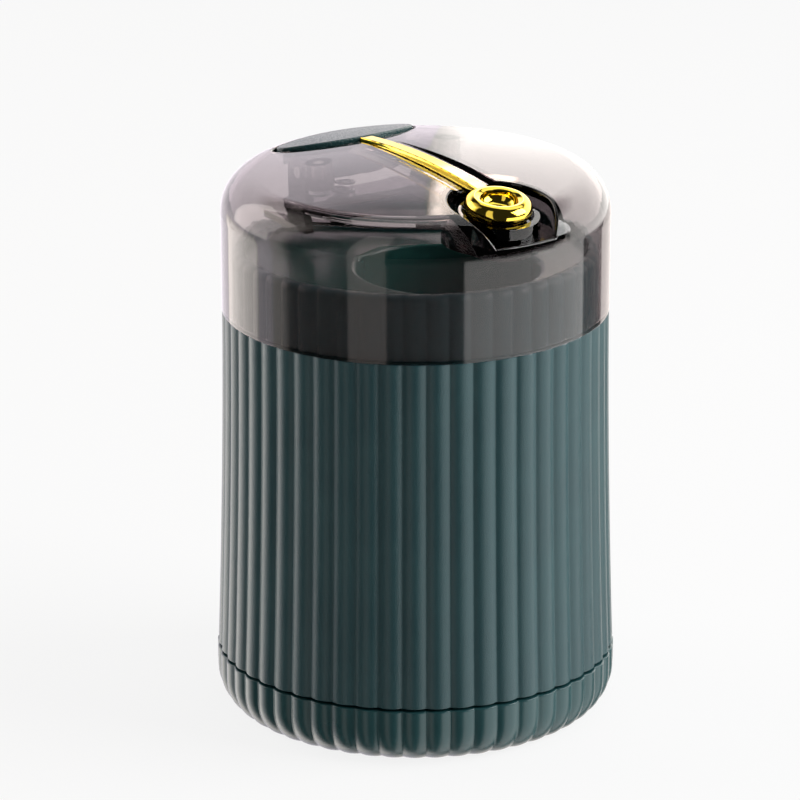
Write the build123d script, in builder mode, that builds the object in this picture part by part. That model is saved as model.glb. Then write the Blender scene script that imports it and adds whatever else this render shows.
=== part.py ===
from build123d import *
import os
from math import atan2, cos, degrees, hypot, radians, sin, sqrt, tan

# Press-lever toothpick dispenser: a ribbed canister, a lift-off dome lid and a lever in the lid.
# Millimetres, +Z up, origin at the centre of the base. The ring is at the front (-Y) and the
# finger pad at the rear (+Y).

os.makedirs("parts", exist_ok=True)

# ---------------------------------------------------------------- driving dimensions

# Overall
base_diameter = 60.0
overall_height = 85.0

# Ribs
rib_count = 52
rib_depth = 0.45
rib_valley_radius = 0.35

# Base cap
cap_height = 8.65
cap_edge_height = 5.6          # height of the rounded bottom edge
cap_edge_depth = 4.2           # how far the rounded edge draws in
cap_edge_sections = 6          # outlines that shape the rounded edge
cap_floor = 1.8
cap_wall = 2.2
cap_recess_rim = 4.8           # flat rim that the canister stands on
cap_recess_depth = 0.5
spigot_inset = 2.7             # spigot inside the cap's outline
spigot_height = 3.8
seam_gap = 0.35                # groove between cap and sleeve
seam_land_width = 1.1

# Sleeve and neck
sleeve_setback = 0.15          # foot of the sleeve inside the cap's outline
sleeve_flare = 1.7             # power of the curve from the top to the foot
sleeve_sections = 5            # outlines that shape the flare
sleeve_wall = 1.8
neck_height = 9.8
neck_wall = 1.3
neck_edge_radius = 1.0
neck_rib_depth = 0.4
neck_step = 1.7                # thickness of the step between sleeve and neck
neck_ledge = 1.15              # width of the ledge under the flange of the magazine

# Magazine
flange_thickness = 1.8
flange_drop = 1.6              # flange below the rim of the neck
mouth_radius = 13.3
mouth_lead = 0.4               # front of the mouth ahead of the pick hole
mouth_round = 0.8
cup_wall = 1.3
cup_slope = 8.0                # degrees, falls towards the outlet
pick_length = 65.0

# Lid
lid_inset = 1.26               # lid inside the base's outline
lid_overhang = 0.06            # lid outside the ribs below it
lid_height = 23.3              # from the foot of the lid to the top of the lever
lid_wall = 1.45
lid_top_wall = 1.5
dome_drop = 0.5                # crown of the dome below the top of the lever
dome_radius = 138.3
shoulder_radius = 6.1

# Pocket and channel in the dome
pocket_radius = 7.7
pocket_lead = 0.5              # centre of the pocket ahead of the ring's
pocket_depth = 6.35            # floor of the pocket below the crown
pocket_wall = 1.0
channel_half_width = 4.0
channel_floor_half_width = 2.8
channel_depth = 0.55
channel_rear_gap = 1.0         # rear end of the channel ahead of the finger pad
channel_run_out = 0.12         # rear end of the channel's floor above the dome
lid_edge_round = 0.3           # moulded edges of the pocket, the channel and the pad's opening
short_edge = 4.0               # edges of the dome that are too short to round

# Ring and stem
ring_inset = 7.45              # centre of the ring inside the lid's outline
ring_radius = 4.95
ring_foot_radius = 3.9
ring_crown_radius = 4.35
ring_dish_radius = 2.75
ring_height = 3.0
ring_belly = 1.35              # height of the ring's widest line
ring_edge_drop = 0.3           # edges of the ring's top below its crown
ring_dish_floor = 1.0
ring_tilt = 8.5
ring_rise = 0.6                # top of the ring above the dome
pick_hole_radius = 1.0
stem_width = 2.0
stem_foot_width = 2.5          # the sides of the stem slope a little
stem_height = 1.3
stem_overlap = 1.0             # how far the stem runs into the ring
stem_rise_front = 0.35         # top of the stem above the dome
stem_rise_rear = 0.47
stem_crown_y = 0.29            # highest point of the stem behind the axis
stem_round = 0.15
groove_wall = 0.9              # lid under the groove of the stem
root_length = 2.5              # end of the stem inside the finger pad
root_drop = 0.3                # root below the top of the stem
tongue_width = 5.0
tongue_thickness = 1.0
tongue_length = 6.4

# Finger pad and rocker
pad_reach = 15.64              # front of the pad inside the lid's outline
pad_rear_inset = 5.64
pad_front_radius = 17.0
pad_corner = 2.0
pad_drop = 0.5                 # front of the pad below the top of the lever
pad_edge_height = 1.77
pad_under_tilt = 13.0
pad_crown_tilt = 7.6
pad_swing_room = 0.3           # more room behind the pad, which moves back as it tips
pad_edge_round = 0.25
rocker_inset = 0.6
rocker_half_width = 9.9
rocker_thickness = 1.8

# Pivot
pivot_setback = 0.1            # pivot behind the front of the pad
pivot_depth = 3.97             # pivot below the dome
pin_radius = 0.8
hub_radius = 1.7
hub_half_length = 10.3

# Spring
spring_arm = 6.55              # spring behind the pivot
spring_coil_radius = 1.95
spring_wire_radius = 0.22
spring_turns = 3.5
spring_boss_radius = 2.6
spring_boss_drop = 0.7
peg_radius = 1.2
peg_height = 0.8

# Bracket
bracket_depth = 6.2            # floor of the bracket below the pivot
bracket_floor = 1.2
bracket_tail = 2.6             # floor of the bracket behind the spring
cheek_thickness = 1.4
cheek_lead = 2.3
cheek_tail = 2.4
cheek_headroom = 0.3
lug_rise = 0.1                 # top of the lugs above the pivot
lug_thickness = 1.2
lug_radius = 2.3
lug_lead = 2.5                 # screws ahead of the cheeks
boss_radius = 2.0

# Spout
spout_radius = 5.9
spout_rim_drop = 2.4           # rim of the spout below the top of the ring
spout_neck_radius = 4.55
spout_foot_drop = 2.95         # foot of the spout below the floor of the pocket
spout_bore_radius = 1.6
spout_funnel_radius = 3.8
spout_funnel_height = 3.6

# Screws
bracket_screw_radius = 0.8
bracket_screw_length = 3.2
bracket_head_radius = 1.6
bracket_head_height = 1.0
pad_screw_radius = 0.6
pad_screw_length = 2.7
pad_head_radius = 1.0
pad_head_height = 0.6
pad_screw_side_x = 7.2
pad_screw_side_y = 4.86        # along the slope from the front of the pad
pad_screw_mid_y = 3.56
slot_length = 2.1               # cross slot in the bracket's screws
slot_width = 0.35
slot_depth = 0.35

# Clearances
seat_fit = 0.05                # fixed pieces that are pushed together
running_fit = 0.05             # hub on pin
lid_fit = 0.19                 # lid over neck
air = 0.35                     # between the lever and the lid

# ---------------------------------------------------------------- derived places

base_radius = base_diameter / 2
lid_radius = base_radius - lid_inset
lid_bore = lid_radius - lid_wall
lid_foot = overall_height - lid_height
dome_apex = overall_height - dome_drop

spigot_radius = base_radius - spigot_inset
spigot_top = cap_height + spigot_height
sleeve_foot = cap_height + seam_gap
sleeve_top = lid_foot
sleeve_foot_radius = base_radius - sleeve_setback
sleeve_top_radius = lid_radius - lid_overhang
neck_top = sleeve_top + neck_height
neck_radius = lid_bore - lid_fit
neck_bore = neck_radius - neck_rib_depth - neck_wall
flange_top = neck_top - flange_drop
flange_under = flange_top - flange_thickness

ring_y = ring_inset - lid_radius
pocket_y = ring_y - pocket_lead
pocket_floor = dome_apex - pocket_depth
mouth_y = ring_y - mouth_lead + mouth_radius
pad_front = lid_radius - pad_reach
pad_rear_radius = lid_radius - pad_rear_inset
pivot_y = pad_front + pivot_setback
spring_y = pivot_y + spring_arm


def dome_height(radius):
    """Height of the outside of the dome at a distance from the axis."""
    return dome_apex - dome_radius + sqrt(dome_radius**2 - radius**2)


def under_height(y):
    """Height of the sloping underside of the finger pad."""
    return pad_under - (y - pad_front) * tan(radians(pad_under_tilt))


ring_top = dome_height(ring_y) + ring_rise
cup_floor = ring_top - pick_length
pad_top = overall_height - pad_drop
pad_under = pad_top - pad_edge_height
pivot_z = dome_height(pivot_y) - pivot_depth
bracket_top = pivot_z - bracket_depth
rocker_drop = rocker_thickness / cos(radians(pad_under_tilt))
spring_seat = under_height(spring_y) - rocker_drop - spring_boss_drop
cheek_inner = hub_half_length + air
cheek_outer = cheek_inner + cheek_thickness
cheek_front = pivot_y - cheek_lead
cheek_rear = pivot_y + cheek_tail
lug_x = (cheek_inner + cheek_outer) / 2
lug_y = cheek_front - lug_lead
lug_top = pivot_z + lug_rise
spout_foot = pocket_floor - spout_foot_drop

stem_front_y = ring_y + ring_radius - stem_overlap
stem_front_z = dome_height(stem_front_y) + stem_rise_front
stem_rear_y = pad_front - seat_fit
stem_rear_z = dome_height(pad_front) + stem_rise_rear
root_rear = pad_front + root_length
channel_rear = pad_front - channel_rear_gap
high = overall_height + lid_height

# ---------------------------------------------------------------- shared planes and outlines


def slope_plane(y, z, tilt):
    """Plane through a point of the middle plane, facing up and a tilt to the rear."""
    lean = radians(tilt)
    return Plane(origin=(0, y, z), x_dir=(1, 0, 0), z_dir=(0, sin(lean), cos(lean)))


under_plane = slope_plane(pad_front, pad_under, pad_under_tilt)
rocker_plane = under_plane.offset(-rocker_thickness)
ring_plane = slope_plane(ring_y, ring_top, -ring_tilt).offset(-ring_height)
ring_section = Plane(origin=ring_plane.origin, x_dir=(1, 0, 0), z_dir=-ring_plane.y_dir)
pad_screws_at = [
    (-pad_screw_side_x, pad_screw_side_y),
    (0, pad_screw_mid_y),
    (pad_screw_side_x, pad_screw_side_y),
]
lugs_at = [(-lug_x, lug_y), (lug_x, lug_y)]


def polar(radius, angle):
    """Point at a radius and an angle in degrees about the axis."""
    return (radius * cos(radians(angle)), radius * sin(radians(angle)))


def sleeve_radius(level):
    """Crest radius of the sleeve's ribs at a height."""
    climb = (level - sleeve_foot) / (sleeve_top - sleeve_foot)
    return sleeve_top_radius + (sleeve_foot_radius - sleeve_top_radius) * (1 - climb) ** sleeve_flare


def rib_face(crest, depth):
    """Face with round ribs joined by small round valleys, tangent all the way round."""
    half_pitch = 180 / rib_count
    valley_centre = crest - depth + rib_valley_radius
    along = valley_centre * cos(radians(half_pitch))
    across = valley_centre * sin(radians(half_pitch))
    reach = crest**2 + valley_centre**2 - 2 * crest * along - rib_valley_radius**2
    rib_radius = reach / (2 * (crest + rib_valley_radius - along))
    share = rib_radius / (rib_radius + rib_valley_radius)
    rib_centre = crest - rib_radius
    join = Vector(rib_centre + share * (along - rib_centre), share * across)
    join_angle = degrees(atan2(join.Y, join.X))
    with BuildSketch() as ribbed:
        with BuildLine():
            for rib in range(rib_count):
                middle = 2 * half_pitch * rib
                rib_start = polar(join.length, middle - join_angle)
                rib_end = polar(join.length, middle + join_angle)
                next_start = polar(join.length, middle + 2 * half_pitch - join_angle)
                ThreePointArc(rib_start, polar(crest, middle), rib_end)
                ThreePointArc(rib_end, polar(crest - depth, middle + half_pitch), next_start)
        make_face()
    return ribbed.sketch


def pad_face(grow, swing=0):
    """Lens outline of the finger pad, grown or shrunk all round, with more room behind it."""
    with Locations((0, pad_front + pad_front_radius)):
        Circle(pad_front_radius + grow)
    Circle(pad_rear_radius + grow + swing, mode=Mode.INTERSECT)
    fillet(vertices(), pad_corner + grow)


def dome_face(radius, sink, round_radius):
    """Half section of a domed cylinder whose dome lies some way below the outside."""
    corner = dome_height(radius) - sink
    with BuildSketch() as domed:
        with BuildLine():
            Polyline((0, dome_apex - sink), (0, lid_foot), (radius, lid_foot), (radius, corner))
            ThreePointArc((radius, corner), (radius / 2, dome_height(radius / 2) - sink), (0, dome_apex - sink))
        make_face()
        fillet(vertices().group_by(Axis.X)[-1].sort_by(Axis.Y)[-1], round_radius)
    return domed.sketch


def swept_arc(front, middle, rear):
    """Centre and radius of an arc in the middle plane, and the angles of its ends about +X."""
    arc = Edge.make_three_point_arc(front, middle, rear)
    centre = arc.arc_center
    turns = [degrees(atan2(end[1] - centre.Y, end[0] - centre.X)) for end in (rear, front)]
    return centre, arc.radius, turns


def sweep_plane(centre, turn):
    """Plane across an arc at one angle, with its origin in the arc's centre."""
    lean = radians(turn)
    return Plane(origin=(0, centre.X, centre.Y), x_dir=(1, 0, 0), z_dir=(0, -sin(lean), cos(lean)))


def channel_face(sink):
    """Side outline over the floor of the wide channel, or some way below it."""
    front_z = dome_height(pocket_y) - channel_depth - sink
    rear_z = dome_height(channel_rear) - sink
    with BuildSketch() as side:
        with BuildLine():
            ThreePointArc(
                (pocket_y, front_z),
                (-channel_rear, dome_height(channel_rear) - channel_depth - sink),
                (channel_rear, rear_z),
            )
            Polyline((channel_rear, rear_z), (channel_rear, high), (pocket_y, high), (pocket_y, front_z))
        make_face()
    return side.sketch


def is_rim(edge):
    """Whether an edge of the lid is a long cut through the dome, or the lip of the pocket."""
    middle = edge @ 0.5
    reach = hypot(middle.X, middle.Y)
    on_dome = reach < lid_radius - shoulder_radius and abs(dome_height(reach) - middle.Z) < seat_fit
    on_lip = reach > lid_bore and abs(pocket_floor - middle.Z) < seat_fit
    return on_lip or on_dome and edge.length > short_edge


def stem_arc(sink):
    """Curve along the stem, some way below its top."""
    return ThreePointArc(
        (stem_front_y, stem_front_z - sink),
        (stem_crown_y, overall_height - sink),
        (stem_rear_y, stem_rear_z - sink),
    )


def groove_face(sink):
    """Side outline over a curve below the top of the stem, open upwards."""
    with BuildSketch() as side:
        with BuildLine():
            floor = stem_arc(sink)
            Polyline(floor @ 1, (stem_rear_y, high), (stem_front_y, high), floor @ 0)
        make_face()
    return side.sketch


def root_face(slack):
    """Side outline of the end of the stem inside the finger pad."""
    fall = (root_rear - pad_front) * tan(radians(pad_under_tilt))
    top = stem_rear_z - root_drop + slack
    rear = root_rear + slack
    with BuildSketch() as side:
        with BuildLine():
            Polyline(
                (pad_front - stem_overlap, stem_rear_z - stem_height),
                (pad_front - stem_overlap, top),
                (pad_front, top),
                (rear, top - fall),
                (rear, under_height(rear) - tongue_thickness),
                (pad_front, pad_under - tongue_thickness),
                (pad_front, stem_rear_z - stem_height),
                (pad_front - stem_overlap, stem_rear_z - stem_height),
            )
        make_face()
    return side.sketch


def tongue_face(slack):
    """Outline of the tongue on the underside of the finger pad."""
    front = rocker_inset / cos(radians(pad_under_tilt))
    with Locations((0, front + (tongue_length + slack) / 2)):
        Rectangle(tongue_width + 2 * slack, tongue_length + slack)


stem_centre, stem_radius, stem_turns = swept_arc(
    (stem_front_y, stem_front_z),
    (stem_crown_y, overall_height),
    (stem_rear_y, stem_rear_z),
)
channel_centre, channel_radius, channel_turns = swept_arc(
    (pocket_y, dome_height(pocket_y) - channel_depth),
    (-channel_rear, dome_height(channel_rear) - channel_depth),
    (channel_rear, dome_height(channel_rear) + channel_run_out),
)

# ---------------------------------------------------------------- base cap

with BuildPart() as base_cap:
    for section in range(cap_edge_sections):
        turn = radians(90 * (1 - section / (cap_edge_sections - 1)))
        with BuildSketch(Plane.XY.offset(cap_edge_height * (1 - sin(turn)))):
            add(rib_face(base_radius - cap_edge_depth * (1 - cos(turn)), rib_depth))
    loft()
    with BuildSketch(Plane.XY.offset(cap_edge_height)):
        add(rib_face(base_radius, rib_depth))
    extrude(amount=cap_height - cap_edge_height)
    with BuildSketch(Plane.XY.offset(cap_height)):
        Circle(spigot_radius + seam_land_width)
    extrude(amount=seam_gap)
    with BuildSketch(Plane.XY.offset(cap_height)):
        Circle(spigot_radius)
    extrude(amount=spigot_height)
    with BuildSketch(Plane.XY.offset(cap_floor)):
        Circle(base_radius - cap_edge_depth - cap_wall)
    extrude(amount=high, mode=Mode.SUBTRACT)
    with BuildSketch(Plane.XY.offset(cap_edge_height)):
        Circle(spigot_radius - cap_wall)
    extrude(amount=high, mode=Mode.SUBTRACT)
    with BuildSketch():
        Circle(base_radius - cap_edge_depth - cap_recess_rim)
    extrude(amount=cap_recess_depth, mode=Mode.SUBTRACT)
base_cap.part.label = "base_cap"
export_step(base_cap.part, "parts/base_cap.step")

# ---------------------------------------------------------------- body shell

with BuildPart() as body_shell:
    for section in range(sleeve_sections):
        level = sleeve_foot + (sleeve_top - sleeve_foot) * section / (sleeve_sections - 1)
        with BuildSketch(Plane.XY.offset(level)):
            add(rib_face(sleeve_radius(level), rib_depth))
    loft()
    with BuildSketch(Plane.XY.offset(sleeve_top)):
        add(rib_face(neck_radius, neck_rib_depth))
    extrude(amount=neck_height)
    # rounded upper edge of the neck
    with BuildSketch(Plane.XZ):
        with BuildLine():
            edge_foot = (neck_radius, neck_top - neck_edge_radius)
            edge_head = (neck_radius - neck_edge_radius, neck_top)
            Polyline(edge_head, (0, neck_top), (0, 0), (base_diameter, 0), (base_diameter, sleeve_top))
            Polyline((base_diameter, sleeve_top), (neck_radius, sleeve_top), edge_foot)
            edge_swing = neck_edge_radius * cos(radians(45))
            edge_middle = (edge_head[0] + edge_swing, edge_foot[1] + edge_swing)
            ThreePointArc(edge_foot, edge_middle, edge_head)
        make_face()
    revolve(axis=Axis.Z, mode=Mode.INTERSECT)
    # bore: straight over the spigot, then along the flare, then the ledge for the magazine
    with BuildSketch(Plane.XZ):
        bore_inset = rib_depth + sleeve_wall
        bore_mouth = spigot_radius + seat_fit
        bore_start = spigot_top + seam_gap
        bore_end = sleeve_top - neck_step
        bore_middle = (bore_start + bore_end) / 2
        with BuildLine():
            Polyline(
                (0, 0),
                (bore_mouth, 0),
                (bore_mouth, bore_start),
                (sleeve_radius(bore_middle) - bore_inset, bore_middle),
                (sleeve_radius(bore_end) - bore_inset, bore_end),
                (neck_bore - neck_ledge, bore_end),
                (neck_bore - neck_ledge, flange_under),
                (neck_bore, flange_under),
                (neck_bore, high),
                (0, high),
                (0, 0),
            )
        make_face()
    revolve(axis=Axis.Z, mode=Mode.SUBTRACT)
body_shell.part.label = "body_shell"
export_step(body_shell.part, "parts/body_shell.step")

# ---------------------------------------------------------------- magazine

with BuildPart() as pick_magazine:
    cup_foot = cup_floor - cup_wall
    with BuildSketch(Plane.XY.offset(flange_under)):
        Circle(neck_bore - seat_fit)
    extrude(amount=flange_thickness)
    with BuildSketch(Plane.XY.offset(cup_foot)):
        with Locations((0, mouth_y)):
            Circle(mouth_radius + cup_wall)
    extrude(amount=flange_top - cup_foot)
    with BuildSketch(Plane.XY.offset(cup_floor)):
        with Locations((0, mouth_y)):
            Circle(mouth_radius)
    extrude(amount=high, mode=Mode.SUBTRACT)
    mouth_edge = pick_magazine.edges().group_by(Axis.Z)[-1].sort_by(SortBy.LENGTH)[0]
    fillet(mouth_edge, mouth_round)
    # sloping floor, lowest under the outlet
    with BuildSketch(Plane.YZ):
        floor_front = mouth_y - mouth_radius
        floor_rear = mouth_y + mouth_radius
        floor_rise = 2 * mouth_radius * tan(radians(cup_slope))
        with BuildLine():
            Polyline(
                (floor_front, cup_floor),
                (floor_rear, cup_floor),
                (floor_rear, cup_floor + floor_rise),
                (floor_front, cup_floor),
            )
        make_face()
    extrude(amount=mouth_radius, both=True)
    with BuildSketch(Plane.XY.offset(flange_under)):
        Circle(base_radius)
        with Locations((0, mouth_y)):
            Circle(mouth_radius + cup_wall, mode=Mode.SUBTRACT)
    extrude(amount=-flange_under, mode=Mode.SUBTRACT)
pick_magazine.part.label = "pick_magazine"
export_step(pick_magazine.part, "parts/pick_magazine.step")

# ---------------------------------------------------------------- lid

# Room under the dome, less what hangs from it: the pocket, the channels and the screw bosses.
with BuildPart() as lid_room:
    with BuildSketch(Plane.XZ):
        add(dome_face(lid_bore, lid_top_wall, shoulder_radius - lid_wall))
    revolve(axis=Axis.Z)
    with BuildSketch(Plane.XY.offset(pocket_floor - pocket_wall)):
        with Locations((0, pocket_y)):
            Circle(pocket_radius + pocket_wall)
    extrude(amount=high, mode=Mode.SUBTRACT)
    with BuildSketch(Plane.YZ):
        add(channel_face(lid_top_wall))
    extrude(amount=channel_half_width + lid_wall, both=True, mode=Mode.SUBTRACT)
    with BuildSketch(Plane.YZ):
        add(groove_face(stem_height + air + groove_wall))
    extrude(amount=stem_foot_width / 2 + air + lid_wall, both=True, mode=Mode.SUBTRACT)
    with BuildSketch(Plane.XY.offset(lug_top)):
        with Locations(*lugs_at):
            Circle(boss_radius)
    extrude(amount=high, mode=Mode.SUBTRACT)

with BuildPart() as lid_shell:
    with BuildSketch(Plane.XZ):
        add(dome_face(lid_radius, 0, shoulder_radius))
    revolve(axis=Axis.Z)
    with BuildSketch(Plane.XY.offset(pocket_floor)):
        with Locations((0, pocket_y)):
            Circle(pocket_radius)
    extrude(amount=high, mode=Mode.SUBTRACT)
    fillet(lid_shell.edges().filter_by(is_rim), lid_edge_round)
    # opening for the finger pad
    with BuildSketch(Plane.XY.offset(pivot_z)):
        pad_face(air, pad_swing_room)
    extrude(amount=high, mode=Mode.SUBTRACT)
    fillet(lid_shell.edges().filter_by(is_rim).sort_by(Axis.Y)[-1], lid_edge_round)
    # channel with sloping sides, deepest at the pocket, and the groove of the stem
    with BuildSketch(sweep_plane(channel_centre, channel_turns[0])):
        channel_slope = (channel_half_width - channel_floor_half_width) / channel_depth
        channel_brim = channel_floor_half_width + channel_slope * lid_top_wall
        with BuildLine():
            Polyline(
                (-channel_floor_half_width, channel_radius),
                (channel_floor_half_width, channel_radius),
                (channel_brim, channel_radius + lid_top_wall),
                (-channel_brim, channel_radius + lid_top_wall),
                (-channel_floor_half_width, channel_radius),
            )
        make_face()
    revolve(
        axis=Axis((0, channel_centre.X, channel_centre.Y), (1, 0, 0)),
        revolution_arc=channel_turns[1] - channel_turns[0],
        mode=Mode.SUBTRACT,
    )
    with BuildSketch(Plane.YZ):
        add(groove_face(stem_height + air))
    extrude(amount=stem_foot_width / 2 + air, both=True, mode=Mode.SUBTRACT)
    add(lid_room.part, mode=Mode.SUBTRACT)
    # hole for the spout, pilot holes for the screws
    with BuildSketch(Plane.XY.offset(pocket_floor)):
        with Locations((0, ring_y)):
            Circle(spout_neck_radius + seat_fit)
    extrude(amount=-pocket_depth, mode=Mode.SUBTRACT)
    with BuildSketch(Plane.XY.offset(lug_top)):
        with Locations(*lugs_at):
            Circle(bracket_screw_radius)
    extrude(amount=bracket_screw_length - lug_thickness + seat_fit, mode=Mode.SUBTRACT)
lid_shell.part.label = "lid_shell"
export_step(lid_shell.part, "parts/lid_shell.step")

# ---------------------------------------------------------------- spout under the ring

rim_plane = slope_plane(ring_y, ring_top - spout_rim_drop, -ring_tilt)

with BuildPart() as outlet_spout:
    with BuildSketch(Plane.XY.offset(pocket_floor)):
        with Locations((0, ring_y)):
            Circle(spout_radius)
    extrude(amount=pocket_depth)
    split(bisect_by=rim_plane, keep=Keep.BOTTOM)
    with BuildSketch(Plane.XY.offset(spout_foot)):
        with Locations((0, ring_y)):
            Circle(spout_neck_radius)
    extrude(amount=spout_foot_drop)
    # dish that the ring rests in
    with BuildSketch(ring_plane.offset(-air)):
        Circle(ring_radius + air)
    extrude(amount=pocket_depth, mode=Mode.SUBTRACT)
    with BuildSketch(Plane.XY.offset(spout_foot)):
        with Locations((0, ring_y)):
            Circle(spout_bore_radius)
    extrude(amount=high, mode=Mode.SUBTRACT)
    with Locations((0, ring_y, spout_foot)):
        Cone(
            spout_funnel_radius,
            spout_bore_radius,
            spout_funnel_height,
            align=(Align.CENTER, Align.CENTER, Align.MIN),
            mode=Mode.SUBTRACT,
        )
outlet_spout.part.label = "outlet_spout"
export_step(outlet_spout.part, "parts/outlet_spout.step")

# ---------------------------------------------------------------- bracket, its screws and the pin

with BuildPart() as lever_bracket:
    bracket_rear = spring_y + bracket_tail
    bracket_foot = bracket_top - bracket_floor
    cheek_top = dome_height(hypot(cheek_outer, cheek_rear)) - lid_top_wall - cheek_headroom
    with BuildSketch(Plane.YZ.offset(cheek_inner)):
        with BuildLine():
            Polyline(
                (cheek_front, bracket_foot),
                (bracket_rear, bracket_foot),
                (bracket_rear, bracket_top),
                (cheek_rear, bracket_top),
                (cheek_rear, cheek_top),
                (cheek_front, cheek_top),
                (cheek_front, bracket_foot),
            )
        make_face()
    extrude(amount=cheek_thickness)
    mirror(about=Plane.YZ)
    with BuildSketch(Plane.XY.offset(bracket_foot)):
        with Locations((0, spring_y)):
            Rectangle(2 * cheek_outer, 2 * bracket_tail)
    extrude(amount=bracket_floor)
    with BuildSketch(Plane.XY.offset(bracket_top)):
        with Locations((0, spring_y)):
            Circle(peg_radius)
    extrude(amount=peg_height)
    with BuildSketch(Plane.XY.offset(lug_top)):
        with Locations(*lugs_at):
            Circle(lug_radius)
        for lug in lugs_at:
            with Locations((lug[0], (lug_y + cheek_front) / 2)):
                Rectangle(cheek_thickness, lug_lead)
    extrude(amount=-lug_thickness)
    with BuildSketch(Plane.XY.offset(lug_top)):
        with Locations(*lugs_at):
            Circle(bracket_screw_radius + seat_fit)
    extrude(amount=-lug_thickness, mode=Mode.SUBTRACT)
    with BuildSketch(Plane.YZ):
        with Locations((pivot_y, pivot_z)):
            Circle(pin_radius)
    extrude(amount=high, both=True, mode=Mode.SUBTRACT)
lever_bracket.part.label = "lever_bracket"
export_step(lever_bracket.part, "parts/lever_bracket.step")

with BuildPart() as bracket_screws:
    head_top = lug_top - lug_thickness
    with BuildSketch(Plane.XY.offset(head_top)):
        with Locations(*lugs_at):
            Circle(bracket_screw_radius)
    extrude(amount=bracket_screw_length)
    with BuildSketch(Plane.XY.offset(head_top)):
        with Locations(*lugs_at):
            Circle(bracket_head_radius)
    extrude(amount=-bracket_head_height)
    with BuildSketch(Plane.XY.offset(head_top - bracket_head_height)):
        with Locations(*lugs_at):
            Rectangle(slot_length, slot_width)
            Rectangle(slot_width, slot_length)
    extrude(amount=slot_depth, mode=Mode.SUBTRACT)
bracket_screws.part.label = "bracket_screws"
export_step(bracket_screws.part, "parts/bracket_screws.step")

with BuildPart() as pivot_pin:
    with BuildSketch(Plane.YZ):
        with Locations((pivot_y, pivot_z)):
            Circle(pin_radius)
    extrude(amount=cheek_outer, both=True)
pivot_pin.part.label = "pivot_pin"
export_step(pivot_pin.part, "parts/pivot_pin.step")

# ---------------------------------------------------------------- return spring

with BuildPart() as return_spring:
    coil_height = spring_seat - bracket_top - 2 * spring_wire_radius
    with BuildLine():
        coil = Helix(
            pitch=coil_height / spring_turns,
            height=coil_height,
            radius=spring_coil_radius,
            center=(0, spring_y, bracket_top + spring_wire_radius),
        )
    with BuildSketch(Plane(origin=coil @ 0, z_dir=coil % 0)):
        Circle(spring_wire_radius)
    sweep(is_frenet=True)
return_spring.part.label = "return_spring"
export_step(return_spring.part, "parts/return_spring.step")

# ---------------------------------------------------------------- rocker

with BuildPart() as rocker:
    with BuildSketch(Plane.XY.offset(bracket_top)):
        pad_face(-rocker_inset)
        Rectangle(2 * rocker_half_width, high, mode=Mode.INTERSECT)
    extrude(amount=high)
    split(bisect_by=under_plane, keep=Keep.BOTTOM)
    split(bisect_by=rocker_plane, keep=Keep.TOP)
    with BuildSketch(Plane.YZ):
        with Locations((pivot_y, pivot_z)):
            Circle(hub_radius)
    extrude(amount=hub_half_length, both=True)
    with BuildSketch(Plane.XY.offset(spring_seat)):
        with Locations((0, spring_y)):
            Circle(spring_boss_radius)
    extrude(amount=spring_boss_drop + rocker_drop / 2)
    with BuildSketch(Plane.XY.offset(spring_seat)):
        with Locations((0, spring_y)):
            Circle(peg_radius)
    extrude(amount=-peg_height)
    with BuildSketch(under_plane):
        tongue_face(seat_fit)
    extrude(amount=-tongue_thickness, mode=Mode.SUBTRACT)
    with BuildSketch(under_plane):
        with Locations(*pad_screws_at):
            Circle(pad_screw_radius + seat_fit)
    extrude(amount=-rocker_thickness, mode=Mode.SUBTRACT)
    with BuildSketch(Plane.YZ):
        with Locations((pivot_y, pivot_z)):
            Circle(pin_radius + running_fit)
    extrude(amount=high, both=True, mode=Mode.SUBTRACT)
rocker.part.label = "rocker"
export_step(rocker.part, "parts/rocker.step")

# ---------------------------------------------------------------- finger pad

with BuildPart() as press_pad:
    crown_lean = radians(pad_crown_tilt)
    crown_y = pad_front - dome_radius * sin(crown_lean)
    crown_z = pad_top - dome_radius * cos(crown_lean)
    with BuildSketch(Plane.XY.offset(pivot_z)):
        pad_face(0)
    extrude(amount=high)
    with Locations((0, crown_y, crown_z)):
        Sphere(dome_radius, mode=Mode.INTERSECT)
    split(bisect_by=under_plane, keep=Keep.TOP)
    fillet(press_pad.faces().sort_by(Axis.Z)[-1].edges(), pad_edge_round)
    with BuildSketch(Plane.YZ):
        add(root_face(seat_fit))
    extrude(amount=stem_width / 2 + seat_fit, both=True, mode=Mode.SUBTRACT)
    with BuildSketch(rocker_plane):
        with Locations(*pad_screws_at):
            Circle(pad_screw_radius)
    extrude(amount=pad_screw_length, mode=Mode.SUBTRACT)
press_pad.part.label = "press_pad"
export_step(press_pad.part, "parts/press_pad.step")

# ---------------------------------------------------------------- ring lever

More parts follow.
